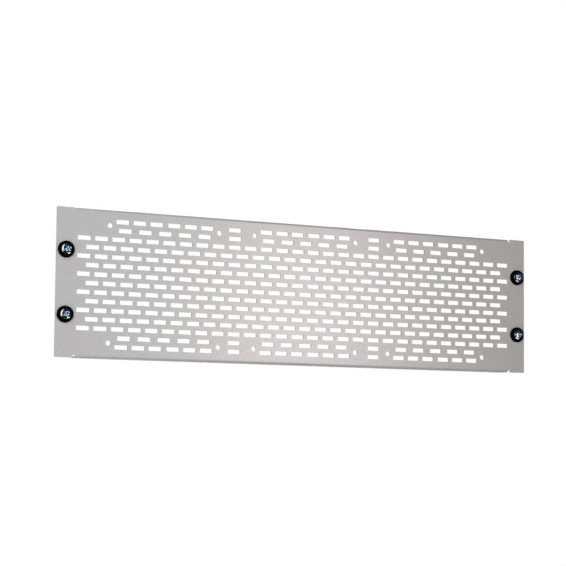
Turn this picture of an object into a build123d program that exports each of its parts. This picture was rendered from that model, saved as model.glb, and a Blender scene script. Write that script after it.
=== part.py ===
from build123d import *

import os

# Vent panel for a 19-inch equipment rack, three rack units high. One folded steel sheet is
# punched with rows of short slots and with the screw holes of three fans, and four screws in
# plastic cup washers hold its ears to the rack's posts.
#
# X runs along the panel, Z is up, and the front faces -Y. The back of the ears, which bears on
# the posts, lies at y = 0. The origin is at the centre of the four screws. All sizes are in mm.

os.makedirs("parts", exist_ok=True)

# Folded sheet
panel_width = 482.6
panel_height = 132.5
sheet = 1.5
bend_radius = 0.8  # inside the fold
flange_depth = 12.0  # from the front face to the flange's free edge
ear_width = 16.6  # flat end beyond the bend reliefs
ear_corner_radius = 1.0
relief_width = 2.2
relief_margin = 0.3  # how far a bend relief runs past its bend

# Slots
slot_length = 12.0
slot_height = 4.0
slot_pitch = 16.0
row_pitch = 8.0
slot_end_margin = 0.5  # outermost slot to the end of the fold
slot_edge_margin = 4.0  # least wall between a slot and a bend

# Fan positions
fan_pitch = 140.0
fan_screw_spacing = 104.8
fan_screw_hole = 4.5
fan_hole_margin = 1.0  # rows nearer to a screw hole than this are broken round it
long_row_first = 8.5  # middle of a fan to the first slot of its outer, six-slot row
long_row_half = 3  # slots on each side of the middle of that row
short_row_pitch = 19.0  # pitch of its inner, five-slot row
short_row_slots = 5
between_fans_shift = 2.0  # lone slots lie this far outwards of midway between two fans

# Fixings
screw_to_end = 8.75  # screw centre to the end of the panel
screw_spacing_z = 57.15
mounting_slot_length = 10.3
mounting_slot_height = 6.8

# Cup washers
washer_diameter = 15.0
washer_height = 3.5
washer_bore = 6.4

# Raised countersunk screws, M6, cross recess
screw_diameter = 6.0
screw_neck = 5.2  # the shank narrows to this under the head
thread_start = 0.5  # the full diameter starts this far behind the ear
screw_length = 16.0  # from the head's edge to the tip
screw_head_diameter = 10.0
screw_crown = 1.3
screw_tip_chamfer = 0.8
seat_gap = 0.05  # along the axis, between the head's cone and the washer's
mouth_clearance = 0.2  # between the head and the washer's mouth, all round
recess_width = 6.2
recess_floor = 3.4
recess_wing = 1.5
recess_depth = 3.0

# Sizes that follow from those above
bend_outside = sheet + bend_radius
fold_length = panel_width - 2 * (ear_width + relief_width)
flange_edge = flange_depth - sheet
screw_spacing_x = panel_width - 2 * screw_to_end
relief_depth = bend_outside + relief_margin


def evenly(count, pitch, centre=0.0):
    """Places spread evenly at a pitch on both sides of a centre."""
    return [centre + pitch * (place - (count - 1) / 2) for place in range(count)]


# Slot places: staggered rows, broken where they pass the fans' screw holes
slot_room = fold_length - 2 * slot_end_margin - slot_length
row_slots = int(slot_room // slot_pitch) + 1
row_room = panel_height / 2 - bend_outside - slot_edge_margin - slot_height / 2
rows_each_side = int(row_room // row_pitch)
broken_reach = (fan_screw_hole + slot_height) / 2 + fan_hole_margin
fan_places = evenly(3, fan_pitch)
lone_slot = fan_pitch / 2 + between_fans_shift

slot_places = []
for row in range(-rows_each_side, rows_each_side + 1):
    z = row * row_pitch
    outer_row = row % 2 == 1
    if abs(abs(z) - fan_screw_spacing / 2) > broken_reach:
        slots = row_slots if outer_row else row_slots - 1
        across = evenly(slots, slot_pitch)
    else:
        across = [-lone_slot, lone_slot]
        for fan in fan_places:
            if outer_row:
                for place in range(long_row_half):
                    reach = long_row_first + place * slot_pitch
                    across += [fan - reach, fan + reach]
            else:
                across += evenly(short_row_slots, short_row_pitch, fan)
    slot_places += [(x, z) for x in across]

# Vent panel
with BuildPart() as vent_panel:
    # Web with a flange folded back along its top and bottom
    with BuildSketch(Plane.YZ) as folded_section:
        with BuildLine():
            inside_height = panel_height / 2 - sheet
            FilletPolyline(
                (flange_edge, -inside_height),
                (0, -inside_height),
                (0, inside_height),
                (flange_edge, inside_height),
                radius=bend_radius,
            )
            offset(amount=sheet, side=Side.LEFT)
        make_face()
    extrude(amount=fold_length / 2, both=True)

    # Flat ears, as high as the folded stretch
    with BuildSketch(Plane.XZ) as ears:
        ear_reach = ear_width + relief_width
        with Locations(
            (-(panel_width - ear_reach) / 2, 0),
            ((panel_width - ear_reach) / 2, 0),
        ):
            Rectangle(ear_reach, panel_height)
        ear_corners = ears.vertices().group_by(Axis.X)
        fillet(ear_corners[0] + ear_corners[-1], radius=ear_corner_radius)
    extrude(amount=sheet)

    # Round-bottomed reliefs between the ears and the folds
    with BuildSketch(Plane.XZ) as reliefs:
        relief_x = (fold_length + relief_width) / 2
        relief_middle = panel_height / 2 - relief_depth + relief_width / 2
        with GridLocations(2 * relief_x, 2 * relief_middle, 2, 2):
            Circle(relief_width / 2)
        with GridLocations(2 * relief_x, panel_height, 2, 2):
            Rectangle(relief_width, 2 * relief_depth - relief_width)
    extrude(amount=sheet, mode=Mode.SUBTRACT)

    # Slots, fan screw holes and mounting slots, punched through the web and ears
    with BuildSketch(Plane.XZ) as punching:
        with Locations(*slot_places):
            Rectangle(slot_length, slot_height)
        for fan in fan_places:
            with Locations((fan, 0)):
                with GridLocations(fan_screw_spacing, fan_screw_spacing, 2, 2):
                    Circle(fan_screw_hole / 2)
        with GridLocations(screw_spacing_x, screw_spacing_z, 2, 2):
            SlotOverall(mounting_slot_length, mounting_slot_height)
    extrude(amount=sheet, mode=Mode.SUBTRACT)

vent_panel.part.label = "vent_panel"
export_step(vent_panel.part, "parts/vent_panel.step")

# Heights along a fixing's axis, counted forwards from the panel's front face
washer_mouth = screw_head_diameter / 2 + mouth_clearance
washer_cone_foot = washer_height - (washer_mouth - washer_bore / 2)
head_cone_foot = washer_cone_foot + (screw_neck - washer_bore) / 2 + seat_gap
head_cone_top = head_cone_foot + (screw_head_diameter - screw_neck) / 2
crown_top = head_cone_top + screw_crown
crown_radius = ((screw_head_diameter / 2) ** 2 + screw_crown**2) / (2 * screw_crown)
tip = head_cone_top - screw_length
recess_bottom = crown_top - recess_depth

# Cup washer: flat base, tapered wall and a 90-degree cone that seats the screw's head
with BuildPart() as cup_washer:
    with BuildSketch(Plane.XZ) as washer_profile:
        with BuildLine():
            Polyline(
                (washer_bore / 2, 0),
                (washer_diameter / 2, 0),
                (washer_mouth, washer_height),
                (washer_bore / 2, washer_cone_foot),
                close=True,
            )
        make_face()
    revolve(axis=Axis.Z)

# Screw: chamfered shank, narrower neck, countersunk head and a raised crown
with BuildPart() as screw:
    with BuildSketch(Plane.XZ) as screw_profile:
        with BuildLine():
            side = Polyline(
                (0, tip),
                (screw_diameter / 2 - screw_tip_chamfer, tip),
                (screw_diameter / 2, tip + screw_tip_chamfer),
                (screw_diameter / 2, -sheet - thread_start),
                (screw_neck / 2, head_cone_foot),
                (screw_head_diameter / 2, head_cone_top),
            )
            crown = RadiusArc(side @ 1, (0, crown_top), -crown_radius)
            Line(crown @ 1, side @ 0)
        make_face()
    revolve(axis=Axis.Z)
    # Cross recess: two wings that narrow towards its floor
    for wing_plane in (Plane.XZ, Plane.YZ):
        with BuildSketch(wing_plane) as wing:
            with BuildLine():
                Polyline(
                    (-recess_width / 2, crown_top),
                    (recess_width / 2, crown_top),
                    (recess_floor / 2, recess_bottom),
                    (-recess_floor / 2, recess_bottom),
                    close=True,
                )
            make_face()
        extrude(amount=recess_wing / 2, both=True, mode=Mode.SUBTRACT)

# Four of each, seated on the front of the ears
ear_front = Plane.XZ.offset(sheet)
with BuildPart(ear_front) as cup_washers:
    with GridLocations(screw_spacing_x, screw_spacing_z, 2, 2):
        add(cup_washer.part)

with BuildPart(ear_front) as screws:
    with GridLocations(screw_spacing_x, screw_spacing_z, 2, 2):
        add(screw.part)

cup_washers.part.label = "cup_washers"
export_step(cup_washers.part, "parts/cup_washers.step")
screws.part.label = "screws"
export_step(screws.part, "parts/screws.step")
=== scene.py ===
import math

import bmesh
import bpy
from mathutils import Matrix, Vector
from mathutils.geometry import delaunay_2d_cdt


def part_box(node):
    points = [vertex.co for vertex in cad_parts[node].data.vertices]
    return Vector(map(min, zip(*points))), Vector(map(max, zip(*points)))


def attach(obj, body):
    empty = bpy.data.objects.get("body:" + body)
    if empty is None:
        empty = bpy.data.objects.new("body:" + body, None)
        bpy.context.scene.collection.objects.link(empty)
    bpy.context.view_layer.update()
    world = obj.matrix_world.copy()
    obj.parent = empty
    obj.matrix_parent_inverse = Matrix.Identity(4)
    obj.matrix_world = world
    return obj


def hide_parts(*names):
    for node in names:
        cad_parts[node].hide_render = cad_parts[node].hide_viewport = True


bl_info = {
    "name": "Rack vent panel",
    "version": (1, 0, 0),
    "blender": (4, 5, 0),
    "location": "3D View > Sidebar > Vent Panel",
    "description": "Builds a slotted rack vent panel with its cup washers, screws and stage",
    "category": "Object",
}

# X runs along the panel, Z is up and the front faces -Y. Sizes are in metres.
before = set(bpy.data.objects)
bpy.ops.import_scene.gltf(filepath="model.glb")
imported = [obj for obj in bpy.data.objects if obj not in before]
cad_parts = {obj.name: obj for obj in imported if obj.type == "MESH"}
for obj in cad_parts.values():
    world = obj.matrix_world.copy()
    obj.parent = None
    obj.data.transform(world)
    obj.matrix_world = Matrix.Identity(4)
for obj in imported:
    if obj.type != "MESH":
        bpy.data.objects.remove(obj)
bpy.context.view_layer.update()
PANEL_LOW, PANEL_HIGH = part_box("vent_panel")
EAR_FRONT = PANEL_LOW.y
MM = 0.001
TOUCH = 0.001 * MM  # points nearer than this count as one

# Places of the screws on the ears
SCREW_SPACING_X = 465.1 * MM
SCREW_SPACING_Z = 57.15 * MM
FIXINGS = {
    "upper_left": (-1, 1),
    "upper_right": (1, 1),
    "lower_left": (-1, -1),
    "lower_right": (1, -1),
}

# Rows of slots
SLOT_END_MARGIN = 0.5 * MM  # least wall between a row's last slot and the end of the fold
SLOT_EDGE_MARGIN = 4.0 * MM  # least wall between a slot and a bend
FAN_HOLE_MARGIN = 1.0 * MM  # rows nearer to a screw hole than this are broken round it
LONG_ROW_FIRST = 8.5 * MM  # from the middle of a fan to the nearest slot of its six-slot row
LONG_ROW_HALF = 3  # slots on each side of the middle of that row
SHORT_ROW_PITCH = 19.0 * MM  # spacing of the slots in its five-slot row
SHORT_ROW_HALF = 2
BETWEEN_FANS_SHIFT = 2.0 * MM  # lone slots lie this far outwards of midway between two fans
COUNT_SLACK = 0.01  # keeps a row that just fits from losing a slot

# Folds and reliefs
BEND_STEPS = 6
EAR_INNER_CORNER = 0.3 * MM  # corner radius of the ears beside the reliefs
LEVEL_CLEARANCE = 0.2 * MM  # levels this close above a relief's middle get no point
BOWL_DIP = math.radians(65)  # where the relief's round bottom gets one more point

# Corners of a cup washer
WASHER_STEPS = 96
WASHER_BASE_ROUNDING = 0.1 * MM
WASHER_SHOULDER = 2.5 * MM  # height at which the wall bends inwards
WASHER_SHOULDER_INSET = 0.15 * MM
WASHER_DOME = 1.5 * MM  # rounding of the shoulder
WASHER_LIP = 0.6 * MM  # width of the flat lip round the mouth
WASHER_MOUTH_ROUNDING = 0.15 * MM

# Cross recess of a screw
WING_WIDTH = 1.75 * MM
WING_CORNER = 0.3 * MM
WING_ROOT = 0.45 * MM
SPAN_NARROWING = 0.55  # share of the span lost on the way to the floor
WING_NARROWING = 0.75 * MM
CORNER_NARROWING = 0.5
RECESS_LIP = 0.12 * MM
RECESS_LEVELS = (0.35, 0.7, 0.95)  # rings of the walls, as shares of the depth
RECESS_POINT = 0.3 * MM  # dip of the pointed floor
# Painted shade: inside the recess the plate is mixed towards this slightly darker, bluer tone.
RECESS_PAINTED_SHADE = (0.48, 0.66, 0.8, 1.0)
RECESS_DULLNESS = 0.35  # added to the roughness inside the recess

# Crown, rim and thread of a screw
SCREW_TURNS = (20, 65, 35, 5)  # degrees that each cross is turned, in the order of FIXINGS
TURN_STEPS = 64
RIM_STEPS = 6
CROWN_RINGS = 5
CROWN_RING_GAP = 0.3 * MM
THREAD_POINTS = 8  # points across one turn
THREAD_DEPTH = 0.61  # share of the pitch
THREAD_ROOT = 0.12  # half width of the root's flat, as a share of half the pitch
THREAD_FLANK = 0.72  # width of a flank, as a share of half the pitch
THREAD_RUN_IN = 1.2  # turns over which the thread rises below the head
# share of the lighter edge tone on the thread crests: wear and a painted highlight
CREST_WEAR_AND_HIGHLIGHT = 0.5
TIP_CHAMFER = 0.8 * MM

# Colour sockets of a Mix node
MIX_A, MIX_B, MIX_RESULT = 6, 7, 2

# Stage. A lamp is given by its name, place, size, tone and power in watts, by whether it
# lights matt surfaces and by whether it is mirrored in glossy ones.
WHITE = (1.0, 1.0, 1.0)
LAMPS = (
    ("lamp_side", (-0.592, -0.594, 0.1), (0.3, 1.5), (0.905, 0.995, 1.0), 6.4, True, False),
    ("lamp_mirror", (0.83, -1.8, 0.12), (0.3, 0.6), (1.0, 0.885, 0.878), 10.9, True, True),
    ("lamp_card", (0.32, -0.5, -0.46), (0.5, 0.3), WHITE, 0.8, False, True),
    ("lamp_rear", (0.4, 1.7, 0.6), (1.2, 1.0), WHITE, 18.0, True, True),
)
WORLD_LIGHT = 0.03
FLOOR_REACH = 6.0
FLOOR_TONE = (0.7, 0.7, 0.7, 1.0)
PALE_TONE = (1.5, 1.5, 1.5)
PALE_PLACE, PALE_SIZE = (-0.76, -0.6, 0.3), (0.66, 2.0)
DARK_TONE = (0.02, 0.025, 0.03)
DARK_RADIUS = 3.2
DARK_OFFSET = -0.05  # how far the dark wall's rim stands in front of the panel
DARK_ABOVE_FLOOR = 0.03
DARK_AROUND, DARK_UPWARD = 24, 16


def length(name, description, default):
    return bpy.props.FloatProperty(
        name=name,
        description=description,
        default=default,
        min=0.0,
        precision=5,
        subtype="DISTANCE",
        unit="LENGTH",
    )


def colour(name, description, default):
    return bpy.props.FloatVectorProperty(
        name=name,
        description=description,
        default=default,
        min=0.0,
        max=1.0,
        subtype="COLOR",
    )


def share(name, description, default):
    return bpy.props.FloatProperty(
        name=name,
        description=description,
        default=default,
        min=0.0,
        max=1.0,
        subtype="FACTOR",
    )


class VentPanelSettings(bpy.types.PropertyGroup):
    sheet: length("Sheet", "Thickness of the steel sheet", 1.5 * MM)
    bend_radius: length("Bend radius", "Radius inside each fold", 0.8 * MM)
    ear_width: length("Ear width", "Flat end beyond the bend reliefs", 16.6 * MM)
    ear_corner: length("Ear corner", "Corner radius of the ears", 1.0 * MM)
    flange_corner: length("Flange corner", "Corner radius of the flanges", 0.5 * MM)
    relief_width: length("Relief width", "Width of the cut beside each fold", 2.2 * MM)
    relief_margin: length("Relief margin", "How far a relief runs past its bend", 0.3 * MM)
    slot_length: length("Slot length", "Length of a vent slot", 12.0 * MM)
    slot_height: length("Slot height", "Height of a vent slot", 4.0 * MM)
    slot_corner: length("Slot corner", "Corner radius of a vent slot", 0.5 * MM)
    slot_pitch: length("Slot pitch", "Spacing of the slots along a row", 16.0 * MM)
    row_pitch: length("Row pitch", "Spacing of the rows", 8.0 * MM)
    fan_pitch: length("Fan pitch", "Spacing of the three fan places", 140.0 * MM)
    fan_square: length("Fan square", "Spacing of a fan's screw holes", 104.8 * MM)
    fan_hole: length("Fan hole", "Diameter of a fan's screw hole", 4.5 * MM)
    mounting_length: length("Mounting slot length", "Length of an ear's slot", 10.3 * MM)
    mounting_height: length("Mounting slot height", "Height of an ear's slot", 6.8 * MM)
    edge_radius: length("Edge radius", "Rounding of the coated edges", 0.2 * MM)
    coat: colour("Coat", "Colour of the powder coat", (0.52, 0.497, 0.502))
    speckle: share("Speckle", "Strength of the fine speckle in the coat", 0.5)


class CupWasherSettings(bpy.types.PropertyGroup):
    diameter: length("Diameter", "Widest diameter, on the ear", 15.0 * MM)
    height: length("Height", "Height above the ear", 3.5 * MM)
    mouth: length("Mouth", "Diameter of the mouth round the screw's head", 10.4 * MM)
    bore: length("Bore", "Diameter of the hole for the screw", 6.4 * MM)
    edge_radius: length("Edge radius", "Rounding of the moulded edges", 0.3 * MM)
    plastic: colour("Plastic", "Colour of the moulded plastic", (0.0009, 0.0009, 0.001))


class ScrewSettings(bpy.types.PropertyGroup):
    diameter: length("Diameter", "Outer diameter of the thread", 6.0 * MM)
    pitch: length("Pitch", "Pitch of the thread", 1.0 * MM)
    neck: length("Neck", "Diameter under the head", 5.2 * MM)
    head: length("Head", "Diameter of the head", 10.0 * MM)
    head_edge: length("Head edge", "Height of the head's rim above the ear", 3.35 * MM)
    crown: length("Crown", "Height of the domed crown", 1.3 * MM)
    shank: length("Shank", "Length from the rim to the tip", 16.0 * MM)
    rim_radius: length("Rim radius", "Rounding between the crown and the cone", 0.35 * MM)
    recess: length("Recess", "Span of the cross recess", 6.2 * MM)
    recess_depth: length("Recess depth", "Depth of the cross recess", 3.0 * MM)
    zinc: colour("Zinc", "Colour of the zinc plate", (0.60, 0.66, 0.74))


class StageSettings(bpy.types.PropertyGroup):
    floor_drop: length("Floor drop", "Depth of the floor below the panel", 0.45)
    lens: bpy.props.FloatProperty(
        name="Lens",
        description="Focal length in mm on a 36 mm sensor",
        default=100.116,
        min=1.0,
    )
    shift: bpy.props.FloatProperty(
        name="Picture shift",
        description="How far the picture is raised on the sensor, as a share of its width",
        default=0.1,
    )
    place: bpy.props.FloatVectorProperty(
        name="Camera place",
        description="Where the camera stands",
        default=(-0.62452, -1.32987, -0.14462),
        subtype="XYZ",
        unit="LENGTH",
    )
    turn: bpy.props.FloatVectorProperty(
        name="Camera turn",
        description="How the camera is turned",
        default=(1.640397, -0.009883, -0.426013),
        subtype="EULER",
        unit="ROTATION",
    )


# Outlines: each point is (x, z, nx, nz), where (nx, nz) points into the material
def arc(cx, cz, radius, angles, inward=False):
    """Points of a round corner. The material lies outside the arc, or inside it if inward."""
    sign = -1 if inward else 1
    points = []
    for angle in angles:
        c, s = math.cos(angle), math.sin(angle)
        points.append((cx + radius * c, cz + radius * s, sign * c, sign * s))
    return points


def spread(first, last, steps):
    return [math.radians(first + (last - first) * k / steps) for k in range(steps + 1)]


def rounded_hole(cx, cz, width, height, radius, steps=3):
    points = []
    across, up = width / 2 - radius, height / 2 - radius
    for sx, sz, start in ((1, 1, 0), (-1, 1, 90), (-1, -1, 180), (1, -1, 270)):
        points += arc(cx + sx * across, cz + sz * up, radius, spread(start, start + 90, steps))
    return points


def round_hole(cx, cz, radius, steps=32):
    return arc(cx, cz, radius, spread(0, 360, steps)[:-1])


class Shell:
    """Points and faces of one piece, made into a mesh at the end."""

    def __init__(self):
        self.points, self.normals, self.faces = [], [], []
        self.marks = {"edge": [], "recess": []}

    def add(self, point, normal=None, edge=0.0, recess=0.0):
        self.points.append(Vector(point))
        if normal:
            self.normals.append(Vector(normal).normalized())
        self.marks["edge"].append(edge)
        self.marks["recess"].append(recess)
        return len(self.points) - 1

    def band(self, first, second):
        """Joins two closed rings of as many points."""
        count = len(first)
        for k in range(count):
            n = (k + 1) % count
            self.faces.append((first[k], first[n], second[n], second[k]))

    def mesh(self, name):
        mesh = bpy.data.meshes.new(name)
        mesh.from_pydata(self.points, [], self.faces)
        mesh.polygons.foreach_set("use_smooth", [True] * len(mesh.polygons))
        for mark, values in self.marks.items():
            layer = mesh.attributes.new(mark, "FLOAT", "POINT")
            layer.data.foreach_set("value", values)
        mesh.update()
        return mesh


def inside(ring, x, z):
    """Whether a place lies inside a ring."""
    odd = False
    for (ax, az), (bx, bz) in zip(ring, ring[1:] + ring[:1]):
        if (az > z) != (bz > z) and x < ax + (bx - ax) * (z - az) / (bz - az):
            odd = not odd
    return odd


def fill(rings, lines=()):
    """Triangles between an outer ring and its holes, as indices into the rings."""
    points, edges, owner = [], [], []
    for number, ring in enumerate(rings):
        start = len(points)
        points += [Vector((x, z)) for x, z in ring]
        owner += [number] * len(ring)
        edges += [(start + k, start + (k + 1) % len(ring)) for k in range(len(ring))]
    edges += lines
    _, _, faces, sources, _, _ = delaunay_2d_cdt(points, edges, [], 1, 1e-9)
    kept = []
    for face in faces:
        face = [sources[v][0] if sources[v] else None for v in face]
        if None in face:
            raise RuntimeError("an outline crosses another")
        numbers = {owner[v] for v in face}
        if len(numbers) == 1 and 0 not in numbers:
            middle = sum((points[v] for v in face), Vector((0, 0))) / len(face)
            if inside(rings[numbers.pop()], *middle):
                continue
        kept.append(face)
    return kept


def place_object(name, data):
    made = bpy.data.objects.new(name, data)
    bpy.context.scene.collection.objects.link(made)
    return made


def link_piece(mesh, material, node):
    """Puts a piece of the part in the scene, in the place of its plain solid."""
    mesh.materials.append(material)
    piece = place_object(mesh.name, mesh)
    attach(piece, "root")
    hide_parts(node)


# Materials
def new_node(tree, kind, values=None, **settings):
    node = tree.nodes.new(kind)
    for name, value in settings.items():
        setattr(node, name, value)
    for name, value in (values or {}).items():
        if isinstance(value, bpy.types.NodeSocket):
            tree.links.new(value, node.inputs[name])
        else:
            node.inputs[name].default_value = value
    return node


def grain_group():
    """Fine grain of a coat, a moulding or a plating, with a slow drift of tone."""
    name = "Fine grain"
    if name in bpy.data.node_groups:
        return bpy.data.node_groups[name]
    group = bpy.data.node_groups.new(name, "ShaderNodeTree")
    face = group.interface
    for socket, kind, default in (
        ("Colour", "NodeSocketColor", (0.5, 0.5, 0.5, 1.0)),
        ("Scale", "NodeSocketFloat", 1000.0),
        ("Speckle", "NodeSocketFloat", 0.1),
        ("Drift", "NodeSocketFloat", 0.03),
        ("Roughness", "NodeSocketFloat", 0.4),
        ("Roughness change", "NodeSocketFloat", 0.1),
    ):
        made = face.new_socket(socket, in_out="INPUT", socket_type=kind)
        made.default_value = default
    face.new_socket("Colour", in_out="OUTPUT", socket_type="NodeSocketColor")
    face.new_socket("Roughness", in_out="OUTPUT", socket_type="NodeSocketFloat")
    face.new_socket("Height", in_out="OUTPUT", socket_type="NodeSocketFloat")
    given = group.nodes.new("NodeGroupInput").outputs
    place = new_node(group, "ShaderNodeTexCoord").outputs["Object"]
    fine = new_node(
        group,
        "ShaderNodeTexNoise",
        {"Vector": place, "Scale": given["Scale"], "Detail": 3.0, "Roughness": 0.6},
    ).outputs["Fac"]
    slow = new_node(
        group, "ShaderNodeTexNoise", {"Vector": place, "Scale": 14.0, "Detail": 2.0}
    ).outputs["Fac"]

    def around(source, amount):
        centred = new_node(group, "ShaderNodeMath", {0: source, 1: 0.5}, operation="SUBTRACT")
        return new_node(
            group,
            "ShaderNodeMath",
            {0: centred.outputs[0], 1: amount},
            operation="MULTIPLY",
        ).outputs[0]

    tone = new_node(
        group,
        "ShaderNodeMath",
        {0: around(fine, given["Speckle"]), 1: around(slow, given["Drift"])},
        operation="ADD",
    ).outputs[0]
    tone = new_node(group, "ShaderNodeMath", {0: tone, 1: 1.0}, operation="ADD").outputs[0]
    shade = new_node(
        group, "ShaderNodeVectorMath", {0: given["Colour"], "Scale": tone}, operation="SCALE"
    ).outputs[0]
    rough = new_node(
        group,
        "ShaderNodeMath",
        {0: around(fine, given["Roughness change"]), 1: given["Roughness"]},
        operation="ADD",
    ).outputs[0]
    out = group.nodes.new("NodeGroupOutput")
    for socket, source in (("Colour", shade), ("Roughness", rough), ("Height", fine)):
        group.links.new(source, out.inputs[socket])
    return group


def wear_and_highlight_group():
    """Lighter or darker tone along rounded edges, broken up by noise: partly wear, partly a painted
    highlight where the edges catch light.
    """
    name = "Edge wear"
    if name in bpy.data.node_groups:
        return bpy.data.node_groups[name]
    group = bpy.data.node_groups.new(name, "ShaderNodeTree")
    face = group.interface
    for socket, kind, default in (
        ("Colour", "NodeSocketColor", (0.5, 0.5, 0.5, 1.0)),
        ("Edge colour", "NodeSocketColor", (0.7, 0.7, 0.7, 1.0)),
        ("Amount", "NodeSocketFloat", 0.3),
        ("Scale", "NodeSocketFloat", 300.0),
    ):
        made = face.new_socket(socket, in_out="INPUT", socket_type=kind)
        made.default_value = default
    face.new_socket("Colour", in_out="OUTPUT", socket_type="NodeSocketColor")
    given = group.nodes.new("NodeGroupInput").outputs
    place = new_node(group, "ShaderNodeTexCoord").outputs["Object"]
    edge = new_node(group, "ShaderNodeAttribute", attribute_name="edge").outputs["Fac"]
    noise = new_node(
        group, "ShaderNodeTexNoise", {"Vector": place, "Scale": given["Scale"], "Detail": 2.0}
    ).outputs["Fac"]
    patchy = new_node(
        group,
        "ShaderNodeMapRange",
        {"Value": noise, "From Min": 0.35, "From Max": 0.65, "To Min": 0.3, "To Max": 1.0},
    ).outputs[0]
    mask = new_node(
        group, "ShaderNodeMath", {0: edge, 1: patchy}, operation="MULTIPLY"
    ).outputs[0]
    mask = new_node(
        group, "ShaderNodeMath", {0: mask, 1: given["Amount"]}, operation="MULTIPLY"
    ).outputs[0]
    mix = new_node(group, "ShaderNodeMix", {"Factor": mask}, data_type="RGBA")
    group.links.new(given["Colour"], mix.inputs[MIX_A])
    group.links.new(given["Edge colour"], mix.inputs[MIX_B])
    out = group.nodes.new("NodeGroupOutput")
    group.links.new(mix.outputs[MIX_RESULT], out.inputs["Colour"])
    return group


def finish_material(name, tone, metallic, grain, wear_and_highlight, bump):
    """A Principled material with its own grain, and edge wear with a painted edge highlight."""
    material = bpy.data.materials.new(name)
    material.use_nodes = True
    tree = material.node_tree
    shader = tree.nodes["Principled BSDF"]
    grains = new_node(
        tree, "ShaderNodeGroup", {"Colour": (*tone, 1.0), **grain}, node_tree=grain_group()
    )
    worn_and_highlighted = new_node(
        tree,
        "ShaderNodeGroup",
        {"Colour": grains.outputs["Colour"], **wear_and_highlight},
        node_tree=wear_and_highlight_group(),
    )
    tree.links.new(worn_and_highlighted.outputs["Colour"], shader.inputs["Base Color"])
    tree.links.new(grains.outputs["Roughness"], shader.inputs["Roughness"])
    raised = new_node(
        tree,
        "ShaderNodeBump",
        {"Height": grains.outputs["Height"], "Strength": 1.0, "Distance": bump},
    )
    tree.links.new(raised.outputs["Normal"], shader.inputs["Normal"])
    shader.inputs["Metallic"].default_value = metallic
    shader.inputs["IOR"].default_value = 1.5
    return material


# Sheet: one flat blank, folded along its top and bottom
def fan_places(panel):
    return (-panel.fan_pitch, 0.0, panel.fan_pitch)


def slot_places(panel, fold_length, web_height):
    """Centres of the slots: staggered rows, broken round the fans' screw holes."""
    room = fold_length - panel.slot_length - 2 * SLOT_END_MARGIN
    in_row = int(room / panel.slot_pitch + COUNT_SLACK) + 1
    rows = int((web_height / 2 - SLOT_EDGE_MARGIN - panel.slot_height / 2) / panel.row_pitch)
    broken_reach = (panel.fan_hole + panel.slot_height) / 2 + FAN_HOLE_MARGIN
    lone = panel.fan_pitch / 2 + BETWEEN_FANS_SHIFT
    places = []
    for row in range(-rows, rows + 1):
        z = row * panel.row_pitch
        long_row = row % 2 == 1
        if abs(abs(z) - panel.fan_square / 2) > broken_reach:
            count = in_row if long_row else in_row - 1
            across = [panel.slot_pitch * (k - (count - 1) / 2) for k in range(count)]
        else:
            across = [-lone, lone]
            for fan in fan_places(panel):
                if long_row:
                    for k in range(LONG_ROW_HALF):
                        away = LONG_ROW_FIRST + k * panel.slot_pitch
                        across += [fan - away, fan + away]
                else:
                    for k in range(-SHORT_ROW_HALF, SHORT_ROW_HALF + 1):
                        across.append(fan + SHORT_ROW_PITCH * k)
        places += [(x, z) for x in across]
    return places


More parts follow.
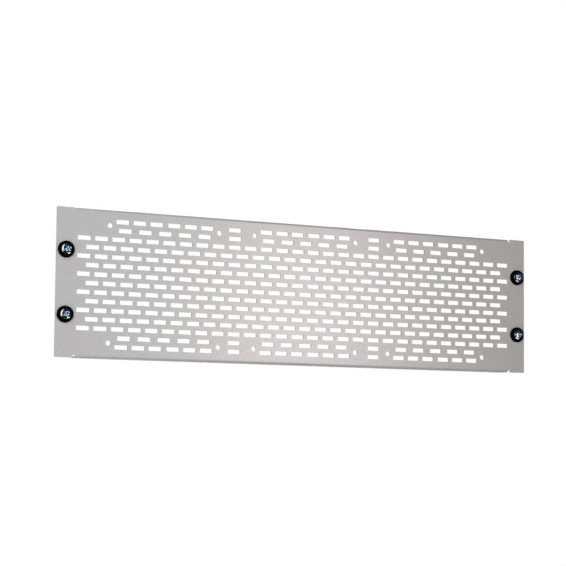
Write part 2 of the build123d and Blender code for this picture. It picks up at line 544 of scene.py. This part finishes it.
class PanelShell(Shell):
    """The sheet's shell, laid out as a flat blank and folded as its points are added."""

    def __init__(self, panel):
        super().__init__()
        self.panel = panel
        self.neutral = panel.bend_radius + panel.sheet / 2
        self.bend_run = math.pi / 2 * self.neutral
        self.bend_start = PANEL_HIGH.z - panel.sheet - panel.bend_radius
        self.blank_half = self.bend_start + self.bend_run + PANEL_HIGH.y - panel.bend_radius
        self.fold_half = PANEL_HIGH.x - panel.ear_width - panel.relief_width
        self.relief_radius = panel.relief_width / 2
        self.relief_x = self.fold_half + self.relief_radius
        self.relief_z = self.bend_start - panel.relief_margin + self.relief_radius

    def outline(self):
        """The blank's outline, and the pairs of its points that the bends' lines join."""
        panel = self.panel
        levels = [self.bend_start + self.bend_run * k / BEND_STEPS for k in range(BEND_STEPS + 1)]
        wall_levels = [z for z in reversed(levels) if z > self.relief_z + LEVEL_CLEARANCE]
        bowl_levels = [z for z in reversed(levels) if z <= self.relief_z]

        # A quarter of it, from the flange to the ear
        corner = panel.flange_corner
        x, z = self.fold_half - corner, self.blank_half - corner
        quarter = arc(x, z, corner, spread(90, 0, 3), inward=True)
        first_wall = len(quarter)
        quarter += [(self.fold_half, level, -1.0, 0.0) for level in wall_levels]
        face_radius = self.relief_radius + panel.edge_radius
        dips = [0.0] + [math.asin((self.relief_z - z) / face_radius) for z in bowl_levels]
        after_bend = first_wall + len(wall_levels) + len(dips)
        dips.append(BOWL_DIP)
        turns = [math.pi + dip for dip in dips] + [math.pi * 1.5]
        turns += [2 * math.pi - dip for dip in reversed(dips)]
        quarter += arc(self.relief_x, self.relief_z, self.relief_radius, turns)
        corner = EAR_INNER_CORNER
        x, z = self.relief_x + self.relief_radius + corner, PANEL_HIGH.z - corner
        quarter += arc(x, z, corner, spread(180, 90, 2), inward=True)
        corner = panel.ear_corner
        x, z = PANEL_HIGH.x - corner, PANEL_HIGH.z - corner
        quarter += arc(x, z, corner, spread(90, 0, 5), inward=True)

        whole = list(quarter)
        whole += [(x, -z, nx, -nz) for x, z, nx, nz in reversed(quarter)]
        whole += [(-x, -z, -nx, -nz) for x, z, nx, nz in quarter]
        whole += [(-x, z, -nx, nz) for x, z, nx, nz in reversed(quarter)]
        half = len(whole) // 2
        lines = []
        for k in range(first_wall, after_bend):
            lines.append((k, len(whole) - 1 - k))
            lines.append((half - 1 - k, half + k))
        return whole, lines

    def holes(self):
        """Outlines of the vent slots, the fans' screw holes and the mounting slots."""
        panel = self.panel
        places = slot_places(panel, 2 * self.fold_half, 2 * self.bend_start)
        vent = (panel.slot_length, panel.slot_height, panel.slot_corner)
        holes = [rounded_hole(x, z, *vent) for x, z in places]
        half_square = panel.fan_square / 2
        for fan in fan_places(panel):
            for sx, sz in FIXINGS.values():
                x, z = fan + sx * half_square, sz * half_square
                holes.append(round_hole(x, z, panel.fan_hole / 2))
        round_end = panel.mounting_height / 2 - TOUCH
        mounting = (panel.mounting_length, panel.mounting_height, round_end)
        for sx, sz in FIXINGS.values():
            x, z = sx * SCREW_SPACING_X / 2, sz * SCREW_SPACING_Z / 2
            holes.append(rounded_hole(x, z, *mounting, steps=8))
        return holes

    def fold(self, x, y, z, nx, ny, nz):
        """Where a point of the flat blank goes, and which way its surface then faces."""
        side = 1 if z > 0 else -1
        run = abs(z) - self.bend_start
        if run <= 0 or abs(x) > self.relief_x:
            return (x, y, z), (nx, ny, nz)
        angle = min(run, self.bend_run) / self.neutral
        radius = self.panel.bend_radius - y
        c, s = math.cos(angle), math.sin(angle)
        flat = max(run - self.bend_run, 0.0)
        depth = self.panel.bend_radius - radius * c + flat * s
        height = self.bend_start + radius * s + flat * c
        up = nz * side
        return (x, depth, side * height), (nx, ny * c + up * s, side * (up * c - ny * s))

    def add_wall(self, ring):
        """The cut edge along one outline, rounded at the front and the back of the sheet."""
        sheet, rounding = self.panel.sheet, self.panel.edge_radius
        levels = []
        for turn in (90, 45, 0, 0, -45, -90):
            c, s = math.cos(math.radians(turn)), math.sin(math.radians(turn))
            inset, depth = rounding * (1 - c), rounding * (1 - abs(s))
            front = len(levels) < 3
            y = depth - sheet if front else -depth
            level = []
            for x, z, nx, nz in ring:
                place = (x + nx * inset, y, z + nz * inset)
                place, normal = self.fold(*place, -nx * c, -s, -nz * c)
                level.append(self.add(place, normal, edge=c))
            levels.append(level)
        for upper, lower in zip(levels, levels[1:]):
            self.band(upper, lower)
        return levels


def panel_shell(panel):
    shell = PanelShell(panel)
    outline, lines = shell.outline()
    rings = [outline] + shell.holes()
    walls = [shell.add_wall(ring) for ring in rings]
    inset = panel.edge_radius
    plan = [[(x + nx * inset, z + nz * inset) for x, z, nx, nz in ring] for ring in rings]
    front = [v for levels in walls for v in levels[0]]
    back = [v for levels in walls for v in levels[-1]]
    for face in fill(plan, lines):
        shell.faces.append([front[v] for v in face])
        shell.faces.append([back[v] for v in reversed(face)])
    return shell


class VENT_OT_panel(bpy.types.Operator):
    """Build the punched and folded sheet"""

    bl_idname = "vent.panel"
    bl_label = "Punched panel"

    def execute(self, context):
        panel = context.scene.vent_panel
        grain = {
            "Scale": 900.0,
            "Speckle": 0.2 * panel.speckle,
            "Drift": 0.04,
            "Roughness": 0.276,
            "Roughness change": 0.1,
        }
        # Painted highlight and wear: the coat is lighter along its rounded cut edges and the slot
        # walls.
        wear_and_highlight = {"Edge colour": (0.62, 0.62, 0.62, 1.0), "Amount": 0.35, "Scale": 250.0}
        material = finish_material(
            "Powder coat", panel.coat, metallic=0.0, grain=grain, wear_and_highlight=wear_and_highlight, bump=0.015 * MM
        )
        shell = panel_shell(panel)
        mesh = shell.mesh("punched_panel")
        link_piece(mesh, material, "vent_panel")
        mesh.normals_split_custom_set_from_vertices(shell.normals)
        return {"FINISHED"}


# Turned pieces: washers and screws
def place_on_ear(corner):
    sx, sz = FIXINGS[corner]
    return Vector((sx * SCREW_SPACING_X / 2, EAR_FRONT, sz * SCREW_SPACING_Z / 2))


def turn_profile(shell, profile, centre, steps):
    """Rings of a turned piece. A profile point is (radius, height, edge); heights point to -Y."""
    rings = []
    for radius, height, edge in profile:
        ring = []
        for a in spread(0, 360, steps)[:-1]:
            offset = Vector((radius * math.cos(a), -height, radius * math.sin(a)))
            ring.append(shell.add(centre + offset, edge=edge))
        rings.append(ring)
    return rings


def rounded_profile(corners, steps=4):
    """Rounds the corners (radius, height, rounding) of a closed profile."""
    points = []
    count = len(corners)
    for k, (r, h, rounding) in enumerate(corners):
        here = Vector((r, h))
        before = Vector(corners[k - 1][:2]) - here
        after = Vector(corners[(k + 1) % count][:2]) - here
        if rounding == 0.0:
            points.append((r, h, 0.0))
            continue
        u, v = before.normalized(), after.normalized()
        half = math.acos(max(-1.0, min(1.0, u.dot(v)))) / 2
        run = rounding / math.tan(half)
        centre = here + (u + v).normalized() * (rounding / math.sin(half))
        start, end = here + u * run - centre, here + v * run - centre
        whole = start.angle_signed(end)
        for j in range(steps + 1):
            a = -whole * j / steps
            c, s = math.cos(a), math.sin(a)
            p = centre + Vector((start.x * c - start.y * s, start.x * s + start.y * c))
            points.append((p.x, p.y, 1.0))
    return points


def washer_profile(washer):
    """Flat base, domed wall and the cone for the screw's head, as corners to be rounded."""
    rounding = washer.edge_radius
    cone_foot = washer.height - (washer.mouth - washer.bore) / 2
    return [
        (washer.bore / 2, 0.0, WASHER_BASE_ROUNDING),
        (washer.diameter / 2, 0.0, WASHER_BASE_ROUNDING),
        (washer.diameter / 2 - WASHER_SHOULDER_INSET, WASHER_SHOULDER, WASHER_DOME),
        (washer.mouth / 2 + WASHER_LIP, washer.height, rounding),
        (washer.mouth / 2, washer.height, WASHER_MOUTH_ROUNDING),
        (washer.bore / 2, cone_foot, rounding),
    ]


class VENT_OT_washers(bpy.types.Operator):
    """Build the four cup washers"""

    bl_idname = "vent.washers"
    bl_label = "Cup washers"

    def execute(self, context):
        washer = context.scene.cup_washer
        grain = {
            "Scale": 2500.0,
            "Speckle": 0.5,
            "Drift": 0.2,
            "Roughness": 0.5,
            "Roughness change": 0.2,
        }
        # Painted highlight and wear: the plastic is a little lighter along its rounded edges.
        wear_and_highlight = {"Edge colour": (0.0025, 0.0025, 0.0027, 1.0), "Amount": 0.5, "Scale": 900.0}
        material = finish_material(
            "Moulded plastic", washer.plastic, metallic=0.0, grain=grain, wear_and_highlight=wear_and_highlight, bump=0.002 * MM
        )
        shader = material.node_tree.nodes["Principled BSDF"]
        shader.inputs["Specular IOR Level"].default_value = 0.02
        profile = rounded_profile(washer_profile(washer))
        for corner in FIXINGS:
            shell = Shell()
            rings = turn_profile(shell, profile, place_on_ear(corner), WASHER_STEPS)
            for first, second in zip(rings, rings[1:] + rings[:1]):
                shell.band(first, second)
            mesh = shell.mesh("cup_washer_" + corner)
            mesh.set_sharp_from_angle(angle=math.radians(50))
            link_piece(mesh, material, "cup_washers")
        return {"FINISHED"}


def cross_outline(span, wing, corner, angle):
    """A cross of four wings with rounded ends and rounded roots."""
    end, side, root = span / 2 - corner, wing / 2 - corner, wing / 2 + WING_ROOT
    part = arc(end, -side, corner, spread(-90, 0, 2)) + arc(end, side, corner, spread(0, 90, 2))
    part += arc(root, root, WING_ROOT, spread(-90, -180, 3), inward=True)
    points = []
    for quarter in range(4):
        a = math.radians(90 * quarter) + angle
        c, s = math.cos(a), math.sin(a)
        for x, z, nx, nz in part:
            points.append((x * c - z * s, x * s + z * c, nx * c - nz * s, nx * s + nz * c))
    return points


class ScrewShell(Shell):
    """The shell of one screw. Its heights count forwards from the front of the ear."""

    def __init__(self, screw, corner):
        super().__init__()
        self.screw = screw
        self.centre = place_on_ear(corner)
        self.crown_radius = ((screw.head / 2) ** 2 + screw.crown**2) / (2 * screw.crown)
        self.crown_centre = screw.head_edge + screw.crown - self.crown_radius

    def crown_height(self, x, z):
        return self.crown_centre + math.sqrt(self.crown_radius**2 - x**2 - z**2)

    def add_at(self, x, z, height, **marks):
        return self.add(self.centre + Vector((x, -height, z)), **marks)

    def rim_profile(self):
        """The rim's rounding, which touches the crown from inside and the 90-degree cone."""
        rounding = self.screw.rim_radius
        offset = self.screw.head / 2 - self.screw.head_edge - rounding * math.sqrt(2)
        half = (offset - self.crown_centre) / 2
        reach = (self.crown_radius - rounding) ** 2 - offset**2 - self.crown_centre**2
        height = math.sqrt(half**2 + reach / 2) - half
        centre = height + offset
        start = math.degrees(math.atan2(height - self.crown_centre, centre))
        return [
            (centre + rounding * math.cos(a), height + rounding * math.sin(a), 1.0)
            for a in spread(start, -45, RIM_STEPS)
        ]

    def add_crown(self, rim_radius, lip):
        """Rings from the rim inwards, and then the crown up to the lip of the recess."""
        rings = []
        for k in range(CROWN_RINGS):
            radius = rim_radius - k * CROWN_RING_GAP
            circle = [(x, z) for x, z, _, _ in round_hole(0, 0, radius, TURN_STEPS)]
            rings.append([self.add_at(x, z, self.crown_height(x, z)) for x, z in circle])
        for first, second in zip(rings, rings[1:]):
            self.band(second, first)
        lip_ring = [self.add_at(x, z, self.crown_height(x, z)) for x, z in lip]
        ids = rings[-1] + lip_ring
        for face in fill([circle, lip]):
            self.faces.append([ids[v] for v in face])
        return rings[0], lip_ring

    def add_recess(self, outline, lip_ring, turn):
        """A rounded lip, walls that narrow downwards and a pointed floor."""
        rings = [lip_ring]
        for a in (math.radians(45), math.radians(90)):
            inset, drop = RECESS_LIP * (1 - math.sin(a)), RECESS_LIP * (1 - math.cos(a))
            ring = []
            for x, z, nx, nz in outline:
                px, pz = x + nx * inset, z + nz * inset
                ring.append(self.add_at(px, pz, self.crown_height(px, pz) - drop, edge=1.0))
            rings.append(ring)
        floor = self.crown_height(0, 0) - self.screw.recess_depth
        for part in RECESS_LEVELS:
            lower = cross_outline(
                self.screw.recess * (1 - SPAN_NARROWING * part),
                WING_WIDTH - WING_NARROWING * part,
                WING_CORNER * (1 - CORNER_NARROWING * part),
                turn,
            )
            ring = []
            for x, z, _, _ in lower:
                height = self.crown_height(x, z) * (1 - part) + floor * part
                ring.append(self.add_at(x, z, height, recess=1.0))
            rings.append(ring)
        for first, second in zip(rings, rings[1:]):
            self.band(first, second)
        bottom = self.add_at(0, 0, floor - RECESS_POINT, recess=1.0)
        last = rings[-1]
        for k, point in enumerate(last):
            self.faces.append((point, last[(k + 1) % len(last)], bottom))

    def add_thread(self, collar, foot):
        """One strip that winds down the shank, held back at its top and at the tip."""
        screw, steps, across = self.screw, TURN_STEPS, THREAD_POINTS
        tip = screw.head_edge - screw.shank
        total = steps * int(math.ceil((foot - tip) / screw.pitch) + 1)

        def thread_point(i, j):
            if i < steps and j == 0:
                return collar[i]
            along = foot + screw.pitch * (1 - i / steps - j / across)
            height = min(max(along, tip), foot)
            crest = (abs(j / across * 2 - 1) - THREAD_ROOT) / THREAD_FLANK
            crest = min(1.0, max(0.0, crest))
            radius = screw.diameter / 2 - THREAD_DEPTH * screw.pitch * (1 - crest)
            run_in = min(1.0, (foot - height) / (THREAD_RUN_IN * screw.pitch))
            radius = screw.neck / 2 + (radius - screw.neck / 2) * run_in
            radius = min(radius, screw.diameter / 2 - TIP_CHAMFER + (height - tip))
            a = 2 * math.pi * i / steps
            x, z = radius * math.cos(a), radius * math.sin(a)
            return self.add_at(x, z, height, edge=CREST_WEAR_AND_HIGHLIGHT * crest)

        strip = [[thread_point(i, j) for j in range(across)] for i in range(total)]
        end = [thread_point(total + i, 0) for i in range(steps)]
        starts = [column[0] for column in strip] + end + [end[0]]
        strip.append([end[0]] * across)
        for i in range(total):
            here = strip[i] + [starts[i + steps]]
            after = strip[i + 1] + [starts[i + 1 + steps]]
            for j in range(across):
                face = list(dict.fromkeys((here[j], after[j], after[j + 1], here[j + 1])))
                if len(face) > 2:
                    self.faces.append(face)
        self.faces.append(end)


def close_mesh(mesh):
    """Joins the points that lie in one place, and turns all faces outwards."""
    work = bmesh.new()
    work.from_mesh(mesh)
    bmesh.ops.remove_doubles(work, verts=work.verts, dist=TOUCH)
    bmesh.ops.recalc_face_normals(work, faces=work.faces)
    work.to_mesh(mesh)
    work.free()
    return mesh


def screw_mesh(screw, corner, turn):
    shell = ScrewShell(screw, corner)
    outline = cross_outline(screw.recess, WING_WIDTH, WING_CORNER, turn)
    lip = [(x + nx * RECESS_LIP, z + nz * RECESS_LIP) for x, z, nx, nz in outline]
    rim = shell.rim_profile()
    rim_ring, lip_ring = shell.add_crown(rim[0][0], lip)
    shell.add_recess(outline, lip_ring, turn)
    foot = screw.head_edge - (screw.head - screw.neck) / 2
    cone = rim[1:] + [(screw.neck / 2, foot, 0.0)]
    turned = turn_profile(shell, cone, shell.centre, TURN_STEPS)
    for first, second in zip([rim_ring] + turned, turned):
        shell.band(first, second)
    shell.add_thread(turned[-1], foot)
    return close_mesh(shell.mesh("screw_" + corner))


def dull_and_shade_recess(material):
    """Makes the inside of the recess rougher, and paints shade there as a slightly darker, bluer
    tone than the rest of the plate.
    """
    tree = material.node_tree
    shader = tree.nodes["Principled BSDF"]
    rough = shader.inputs["Roughness"].links[0].from_socket
    plated = shader.inputs["Base Color"].links[0].from_socket
    inside_recess = new_node(tree, "ShaderNodeAttribute", attribute_name="recess").outputs["Fac"]
    matt = new_node(
        tree,
        "ShaderNodeMath",
        {0: inside_recess, 1: RECESS_DULLNESS, 2: rough},
        operation="MULTIPLY_ADD",
    )
    tree.links.new(matt.outputs[0], shader.inputs["Roughness"])
    # Painted shade: the plate's colour turns slightly darker and bluer inside the recess.
    painted_shade = new_node(tree, "ShaderNodeMix", {"Factor": inside_recess}, data_type="RGBA")
    tree.links.new(plated, painted_shade.inputs[MIX_A])
    painted_shade.inputs[MIX_B].default_value = RECESS_PAINTED_SHADE
    tree.links.new(painted_shade.outputs[MIX_RESULT], shader.inputs["Base Color"])


class VENT_OT_screws(bpy.types.Operator):
    """Build the four screws"""

    bl_idname = "vent.screws"
    bl_label = "Screws"

    def execute(self, context):
        screw = context.scene.vent_screw
        grain = {
            "Scale": 1800.0,
            "Speckle": 0.25,
            "Drift": 0.25,
            "Roughness": 0.1,
            "Roughness change": 0.1,
        }
        # Painted highlight and wear: the plate is lighter along the rim, the recess lip and the
        # thread crests.
        wear_and_highlight = {"Edge colour": (0.8, 0.84, 0.88, 1.0), "Amount": 0.5, "Scale": 700.0}
        material = finish_material(
            "Zinc plate", screw.zinc, metallic=1.0, grain=grain, wear_and_highlight=wear_and_highlight, bump=0.0012 * MM
        )
        dull_and_shade_recess(material)
        for corner, turn in zip(FIXINGS, SCREW_TURNS):
            mesh = screw_mesh(screw, corner, math.radians(turn))
            mesh.set_sharp_from_angle(angle=math.radians(35))
            link_piece(mesh, material, "screws")
        return {"FINISHED"}


# Stage
def turn_to_origin(made, place):
    made.location = place
    made.rotation_euler = (-Vector(place)).to_track_quat("-Z", "Y").to_euler()


def area_lamp(name, place, size, tone, power, lights_matt, is_mirrored):
    lamp = bpy.data.lights.new(name, "AREA")
    lamp.shape = "RECTANGLE"
    lamp.size, lamp.size_y = size
    lamp.energy = power
    lamp.color = tone
    made = place_object(name, lamp)
    turn_to_origin(made, place)
    made.visible_camera = False
    made.visible_diffuse = lights_matt
    made.visible_glossy = is_mirrored


def seen_rays(tree):
    """One for camera, glossy and transmission rays, else zero."""
    path = tree.nodes.new("ShaderNodeLightPath").outputs
    both = new_node(
        tree,
        "ShaderNodeMath",
        {0: path["Is Camera Ray"], 1: path["Is Glossy Ray"]},
        operation="ADD",
    ).outputs[0]
    return new_node(
        tree,
        "ShaderNodeMath",
        {0: both, 1: path["Is Transmission Ray"]},
        operation="ADD",
        use_clamp=True,
    ).outputs[0]


def bare_material(name):
    """A material with only its output node."""
    material = bpy.data.materials.new(name)
    material.use_nodes = True
    tree = material.node_tree
    tree.nodes.remove(tree.nodes["Principled BSDF"])
    return material, tree, tree.nodes["Material Output"].inputs["Surface"]


def floor_material():
    """Pale floor that keeps the shadow and fades to white away from the panel."""
    material, tree, surface = bare_material("Pale floor")
    diffuse = new_node(tree, "ShaderNodeBsdfDiffuse", {"Color": FLOOR_TONE}).outputs[0]
    white = new_node(tree, "ShaderNodeEmission", {"Strength": 1.0}).outputs[0]
    place = new_node(tree, "ShaderNodeTexCoord").outputs["Object"]
    away = new_node(tree, "ShaderNodeVectorMath", {0: place}, operation="LENGTH").outputs["Value"]
    fade = new_node(
        tree,
        "ShaderNodeMapRange",
        {"Value": away, "From Min": 0.3, "From Max": 1.6, "To Min": 0.45, "To Max": 1.0},
        interpolation_type="SMOOTHSTEP",
    ).outputs[0]
    part = new_node(
        tree, "ShaderNodeMath", {0: fade, 1: seen_rays(tree)}, operation="MULTIPLY"
    ).outputs[0]
    mix = new_node(tree, "ShaderNodeMixShader", {0: part, 1: diffuse, 2: white})
    tree.links.new(mix.outputs[0], surface)
    return material


def mirrored_wall(name, points, faces, tone):
    """A wall of one even tone that is seen only in reflections."""
    material, tree, surface = bare_material(name.replace("_", " ").capitalize())
    glow = new_node(tree, "ShaderNodeEmission", {"Color": (*tone, 1.0), "Strength": 1.0})
    tree.links.new(glow.outputs[0], surface)
    mesh = bpy.data.meshes.new(name)
    mesh.from_pydata(points, [], faces)
    mesh.materials.append(material)
    wall = place_object(name, mesh)
    wall.visible_camera = False
    wall.visible_diffuse = False
    wall.visible_shadow = False
    wall.visible_transmission = False
    return wall


def rectangle(across, up):
    return [(-across, -up, 0), (across, -up, 0), (across, up, 0), (-across, up, 0)]


def add_floor(height):
    mesh = bpy.data.meshes.new("floor")
    mesh.from_pydata(rectangle(FLOOR_REACH, FLOOR_REACH), [], [(0, 1, 2, 3)])
    mesh.materials.append(floor_material())
    floor = place_object("floor", mesh)
    floor.location.z = height


def add_dark_wall(floor_height):
    """Half globe round the front, behind the camera and the lamps."""
    points = []
    for j in range(DARK_UPWARD + 1):
        tilt = math.pi * (j / DARK_UPWARD - 0.5)
        level, height = DARK_RADIUS * math.cos(tilt), DARK_RADIUS * math.sin(tilt)
        for k in range(DARK_AROUND + 1):
            turn = math.pi * (1 + k / DARK_AROUND)
            x, y = level * math.cos(turn), level * math.sin(turn) + DARK_OFFSET
            points.append((x, y, max(height, floor_height + DARK_ABOVE_FLOOR)))
    row = DARK_AROUND + 1
    faces = []
    for j in range(DARK_UPWARD):
        for k in range(j * row, j * row + DARK_AROUND):
            faces.append((k, k + 1, k + row + 1, k + row))
    mirrored_wall("dark_wall", points, faces, DARK_TONE)


def add_pale_wall():
    across, up = (extent / 2 for extent in PALE_SIZE)
    wall = mirrored_wall("pale_wall", rectangle(across, up), [(0, 1, 2, 3)], PALE_TONE)
    turn_to_origin(wall, PALE_PLACE)


def add_world(scene):
    world = bpy.data.worlds.new("White studio")
    scene.world = world
    world.use_nodes = True
    tree = world.node_tree
    tree.nodes.clear()
    white = (*WHITE, 1.0)
    light, seen = (
        new_node(tree, "ShaderNodeBackground", {"Color": white, "Strength": strength}).outputs[0]
        for strength in (WORLD_LIGHT, 1.0)
    )
    mix = new_node(tree, "ShaderNodeMixShader", {0: seen_rays(tree), 1: light, 2: seen})
    new_node(tree, "ShaderNodeOutputWorld", {"Surface": mix.outputs[0]})


def add_camera(scene, stage):
    data = bpy.data.cameras.new("camera")
    data.lens = stage.lens
    data.shift_y = stage.shift
    data.sensor_width = 36.0
    data.clip_start, data.clip_end = 0.05, 100.0
    camera = place_object("camera", data)
    camera.location = stage.place
    camera.rotation_euler = stage.turn
    scene.camera = camera


class VENT_OT_stage(bpy.types.Operator):
    """Build the floor, the lamps, the world and the camera"""

    bl_idname = "vent.stage"
    bl_label = "Stage"

    def execute(self, context):
        scene = context.scene
        stage = scene.vent_stage
        floor_height = PANEL_LOW.z - stage.floor_drop
        add_floor(floor_height)
        add_dark_wall(floor_height)
        add_pale_wall()
        for lamp in LAMPS:
            area_lamp(*lamp)
        add_world(scene)
        add_camera(scene, stage)
        scene.view_settings.view_transform = "Standard"
        return {"FINISHED"}


class VENT_PT_sidebar(bpy.types.Panel):
    """Lists the pieces with their sizes and colours"""

    bl_label = "Rack vent panel"
    bl_idname = "VENT_PT_sidebar"
    bl_space_type = "VIEW_3D"
    bl_region_type = "UI"
    bl_category = "Vent Panel"

    def draw(self, context):
        layout = self.layout
        scene = context.scene
        for operator, settings in (
            (VENT_OT_panel, scene.vent_panel),
            (VENT_OT_washers, scene.cup_washer),
            (VENT_OT_screws, scene.vent_screw),
            (VENT_OT_stage, scene.vent_stage),
        ):
            box = layout.box()
            box.operator(operator.bl_idname)
            for name in settings.bl_rna.properties.keys():
                if name not in ("rna_type", "name"):
                    box.prop(settings, name)


CLASSES = (
    VentPanelSettings,
    CupWasherSettings,
    ScrewSettings,
    StageSettings,
    VENT_OT_panel,
    VENT_OT_washers,
    VENT_OT_screws,
    VENT_OT_stage,
    VENT_PT_sidebar,
)


def register():
    for item in CLASSES:
        bpy.utils.register_class(item)
    scene = bpy.types.Scene
    scene.vent_panel = bpy.props.PointerProperty(type=VentPanelSettings)
    scene.cup_washer = bpy.props.PointerProperty(type=CupWasherSettings)
    scene.vent_screw = bpy.props.PointerProperty(type=ScrewSettings)
    scene.vent_stage = bpy.props.PointerProperty(type=StageSettings)


def unregister():
    for name in ("vent_panel", "cup_washer", "vent_screw", "vent_stage"):
        delattr(bpy.types.Scene, name)
    for item in reversed(CLASSES):
        bpy.utils.unregister_class(item)


def main():
    register()
    bpy.ops.vent.panel()
    bpy.ops.vent.washers()
    bpy.ops.vent.screws()
    bpy.ops.vent.stage()


if __name__ == "__main__":
    main()
